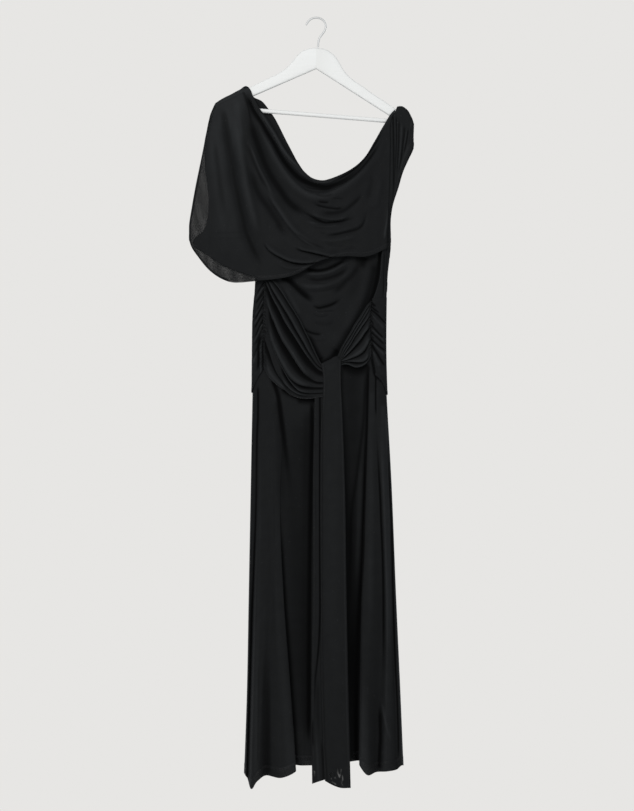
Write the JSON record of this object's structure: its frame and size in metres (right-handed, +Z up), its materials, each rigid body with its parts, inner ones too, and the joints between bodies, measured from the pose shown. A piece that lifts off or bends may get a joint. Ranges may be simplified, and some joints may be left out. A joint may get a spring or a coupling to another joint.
{
  "type": "maxi dress on a hanger",
  "caption": "Draped one-sleeve jersey maxi dress with cowl neck, ruched hips, swags to a knot and a hanging sash, on a white wooden clothes hanger.",
  "frame": {"origin": "inside top of the hanger's hook, the point that it hangs from", "axes": "+Z up, the dress's front faces -Y, +X is the right of someone who looks at the front"},
  "size_m": [0.4862, 0.1088, 1.667],
  "materials": {
    "white_wood": "satin white paint on wood",
    "hook_steel": "plated steel wire",
    "black_mesh_jersey": "soft black mesh jersey with a faint sheen, slightly sheer as a single layer",
    "black_lining": "plain black jersey lining"
  },
  "bodies": {
    "root": {"hanger_body": "white_wood", "hanger_bar": "white_wood", "hanger_hook": "hook_steel", "overlay_front": "black_mesh_jersey", "overlay_back": "black_mesh_jersey", "overlay_lining": "black_lining", "bodice_front": "black_mesh_jersey", "bodice_back": "black_mesh_jersey", "right_panel": "black_mesh_jersey", "hip_wrap": "black_mesh_jersey", "left_swag": "black_mesh_jersey", "right_swag": "black_mesh_jersey", "skirt_front": "black_mesh_jersey", "skirt_back": "black_mesh_jersey", "sash_front": "black_mesh_jersey", "sash_under": "black_mesh_jersey"}
  },
  "joints": []
}
